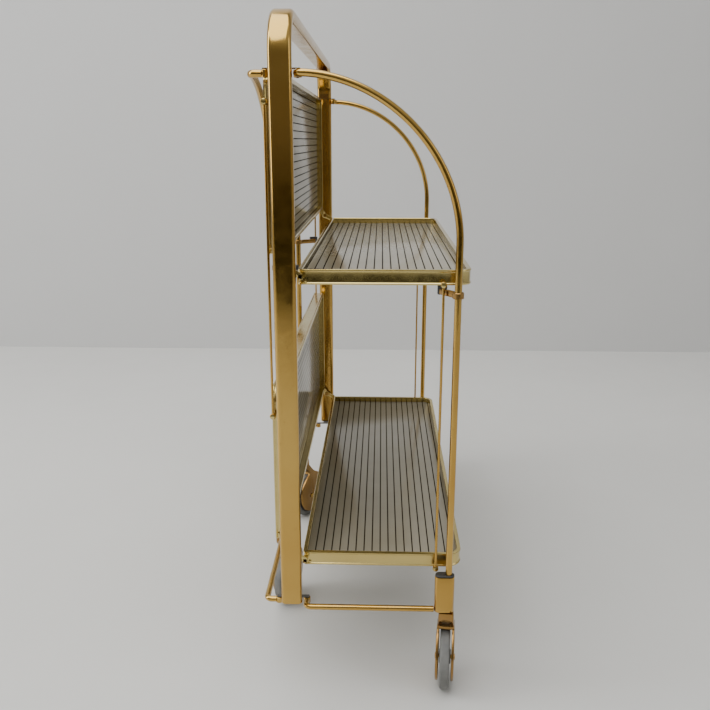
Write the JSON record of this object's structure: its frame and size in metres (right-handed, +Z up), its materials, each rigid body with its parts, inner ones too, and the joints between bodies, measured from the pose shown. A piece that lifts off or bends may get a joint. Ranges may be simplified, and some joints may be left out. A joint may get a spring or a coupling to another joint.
{
  "type": "folding serving trolley",
  "caption": "Folding two-tier serving trolley: an arched tube frame, hinged trays each side, swing gates with arched bows, and swivel casters. Shown half folded.",
  "frame": {"origin": "centre of the bounding box's base, on the floor, at rest as stored", "axes": "+Z up, +Y along the frame from the near upright to the far one, +X to the side that stands open; the arch's centre is at X = -0.07485, Y = -0.01213, because the casters stand out unequally"},
  "size_m": [0.25, 0.7082, 0.77],
  "materials": {
    "gold_brass": "polished",
    "pale_gold_rim": "polished",
    "bronze_brass": "polished, tarnished",
    "smoked_panel": "high gloss, smoke brown with fine dark stripes along the tray",
    "dark_plastic": "matt",
    "grey_tyre": "matt"
  },
  "bodies": {
    "frame": {"main_frame": "gold_brass", "foot_far": "dark_plastic", "foot_near": "dark_plastic", "leaf_pin_lower_far": "bronze_brass", "leaf_pin_lower_near": "bronze_brass", "leaf_pin_upper_far": "bronze_brass", "leaf_pin_upper_near": "bronze_brass", "top_bracket_far": "bronze_brass", "top_bracket_near": "bronze_brass"},
    "leaf_upper_right": {"leaf_upper_right_rim": "pale_gold_rim", "leaf_upper_right_panel": "smoked_panel"},
    "leaf_lower_right": {"leaf_lower_right_rim": "pale_gold_rim", "leaf_lower_right_panel": "smoked_panel"},
    "link_near_right": {"link_near_right": "gold_brass"},
    "link_far_right": {"link_far_right": "gold_brass"},
    "leaf_upper_left": {"leaf_upper_left_rim": "pale_gold_rim", "leaf_upper_left_panel": "smoked_panel"},
    "leaf_lower_left": {"leaf_lower_left_rim": "pale_gold_rim", "leaf_lower_left_panel": "smoked_panel"},
    "link_near_left": {"link_near_left": "gold_brass"},
    "link_far_left": {"link_far_left": "gold_brass"},
    "gate_near_right": {"gate_near_right_bow": "gold_brass", "gate_near_right_rod": "gold_brass", "gate_near_right_block": "gold_brass", "gate_near_right_cap": "dark_plastic", "gate_near_right_support": "bronze_brass"},
    "caster_near_right_fork": {"caster_near_right_fork": "bronze_brass", "caster_near_right_axle": "gold_brass"},
    "caster_near_right_wheel": {"caster_near_right_wheel": "dark_plastic", "caster_near_right_tyre": "grey_tyre"},
    "gate_near_left": {"gate_near_left_bow": "gold_brass", "gate_near_left_rod": "gold_brass", "gate_near_left_block": "gold_brass", "gate_near_left_cap": "dark_plastic", "gate_near_left_support": "bronze_brass"},
    "caster_near_left_fork": {"caster_near_left_fork": "bronze_brass", "caster_near_left_axle": "gold_brass"},
    "caster_near_left_wheel": {"caster_near_left_wheel": "dark_plastic", "caster_near_left_tyre": "grey_tyre"},
    "gate_far_right": {"gate_far_right_bow": "gold_brass", "gate_far_right_rod": "gold_brass", "gate_far_right_block": "gold_brass", "gate_far_right_cap": "dark_plastic", "gate_far_right_support": "bronze_brass"},
    "caster_far_right_fork": {"caster_far_right_fork": "bronze_brass", "caster_far_right_axle": "gold_brass"},
    "caster_far_right_wheel": {"caster_far_right_wheel": "dark_plastic", "caster_far_right_tyre": "grey_tyre"},
    "gate_far_left": {"gate_far_left_bow": "gold_brass", "gate_far_left_rod": "gold_brass", "gate_far_left_block": "gold_brass", "gate_far_left_cap": "dark_plastic", "gate_far_left_support": "bronze_brass"},
    "caster_far_left_fork": {"caster_far_left_fork": "bronze_brass", "caster_far_left_axle": "gold_brass"},
    "caster_far_left_wheel": {"caster_far_left_wheel": "dark_plastic", "caster_far_left_tyre": "grey_tyre"}
  },
  "joints": [
    {"name": "leaf_upper_right_hinge", "type": "hinge", "parent": "frame", "child": "leaf_upper_right", "pos_m": [-0.07485, -0.01213, 0.5103], "axis": [0, -1, 0], "range_deg": [0, 90]},
    {"name": "leaf_lower_right_hinge", "type": "hinge", "parent": "frame", "child": "leaf_lower_right", "pos_m": [-0.07485, -0.01213, 0.1735], "axis": [0, -1, 0], "range_deg": [0, 90]},
    {"name": "link_near_right_pivot", "type": "hinge", "parent": "leaf_upper_right", "child": "link_near_right", "pos_m": [0.09385, -0.31613, 0.4923], "axis": [0, -1, 0], "range_deg": [-90, 0]},
    {"name": "link_far_right_pivot", "type": "hinge", "parent": "leaf_upper_right", "child": "link_far_right", "pos_m": [0.09385, 0.29187, 0.4923], "axis": [0, -1, 0], "range_deg": [-90, 0]},
    {"name": "leaf_upper_left_hinge", "type": "hinge", "parent": "frame", "child": "leaf_upper_left", "pos_m": [-0.07485, -0.01213, 0.5103], "axis": [0, -1, 0], "range_deg": [-1.3, 0]},
    {"name": "leaf_lower_left_hinge", "type": "hinge", "parent": "frame", "child": "leaf_lower_left", "pos_m": [-0.07485, -0.01213, 0.1735], "axis": [0, -1, 0], "range_deg": [-1.3, 0]},
    {"name": "link_near_left_pivot", "type": "hinge", "parent": "leaf_upper_left", "child": "link_near_left", "pos_m": [-0.09285, -0.31613, 0.679], "axis": [0, -1, 0], "range_deg": [0, 1.3]},
    {"name": "link_far_left_pivot", "type": "hinge", "parent": "leaf_upper_left", "child": "link_far_left", "pos_m": [-0.09285, 0.29187, 0.679], "axis": [0, -1, 0], "range_deg": [0, 1.3]},
    {"name": "gate_near_right_hinge", "type": "hinge", "parent": "frame", "child": "gate_near_right", "pos_m": [-0.05835, -0.31363, 0.411], "axis": [0, 0, 1], "range_deg": [0, 1]},
    {"name": "caster_near_right_swivel", "type": "hinge", "parent": "gate_near_right", "child": "caster_near_right_fork", "pos_m": [0.10685, -0.32883, 0.1078], "axis": [0, 0, 1], "continuous": true},
    {"name": "caster_near_right_spin", "type": "hinge", "parent": "caster_near_right_fork", "child": "caster_near_right_wheel", "pos_m": [0.10812, -0.3167, 0.0373], "axis": [-0.9945, 0.1045, 0], "continuous": true},
    {"name": "gate_near_left_hinge", "type": "hinge", "parent": "frame", "child": "gate_near_left", "pos_m": [-0.09135, -0.31363, 0.411], "axis": [0, 0, 1], "range_deg": [0, 90]},
    {"name": "caster_near_left_swivel", "type": "hinge", "parent": "gate_near_left", "child": "caster_near_left_fork", "pos_m": [-0.10655, -0.14843, 0.1078], "axis": [0, 0, 1], "continuous": true},
    {"name": "caster_near_left_spin", "type": "hinge", "parent": "caster_near_left_fork", "child": "caster_near_left_wheel", "pos_m": [-0.10298, -0.13676, 0.0373], "axis": [-0.9563, 0.2924, 0], "continuous": true},
    {"name": "gate_far_right_hinge", "type": "hinge", "parent": "frame", "child": "gate_far_right", "pos_m": [-0.05835, 0.28937, 0.411], "axis": [0, 0, -1], "range_deg": [0, 1]},
    {"name": "caster_far_right_swivel", "type": "hinge", "parent": "gate_far_right", "child": "caster_far_right_fork", "pos_m": [0.10685, 0.30457, 0.1078], "axis": [0, 0, 1], "continuous": true},
    {"name": "caster_far_right_spin", "type": "hinge", "parent": "caster_far_right_fork", "child": "caster_far_right_wheel", "pos_m": [0.10685, 0.31677, 0.0373], "axis": [-1, 0, 0], "continuous": true},
    {"name": "gate_far_left_hinge", "type": "hinge", "parent": "frame", "child": "gate_far_left", "pos_m": [-0.09135, 0.28937, 0.411], "axis": [0, 0, -1], "range_deg": [0, 90]},
    {"name": "caster_far_left_swivel", "type": "hinge", "parent": "gate_far_left", "child": "caster_far_left_fork", "pos_m": [-0.10655, 0.12417, 0.1078], "axis": [0, 0, 1], "continuous": true},
    {"name": "caster_far_left_spin", "type": "hinge", "parent": "caster_far_left_fork", "child": "caster_far_left_wheel", "pos_m": [-0.10008, 0.13452, 0.0373], "axis": [-0.848, 0.5299, 0], "continuous": true}
  ],
  "couplings": [
    {"joint": "leaf_lower_right_hinge", "follows": "leaf_upper_right_hinge", "ratio": 1},
    {"joint": "link_near_right_pivot", "follows": "leaf_upper_right_hinge", "ratio": -1},
    {"joint": "link_far_right_pivot", "follows": "leaf_upper_right_hinge", "ratio": -1},
    {"joint": "leaf_lower_left_hinge", "follows": "leaf_upper_left_hinge", "ratio": 1},
    {"joint": "link_near_left_pivot", "follows": "leaf_upper_left_hinge", "ratio": -1},
    {"joint": "link_far_left_pivot", "follows": "leaf_upper_left_hinge", "ratio": -1}
  ]
}
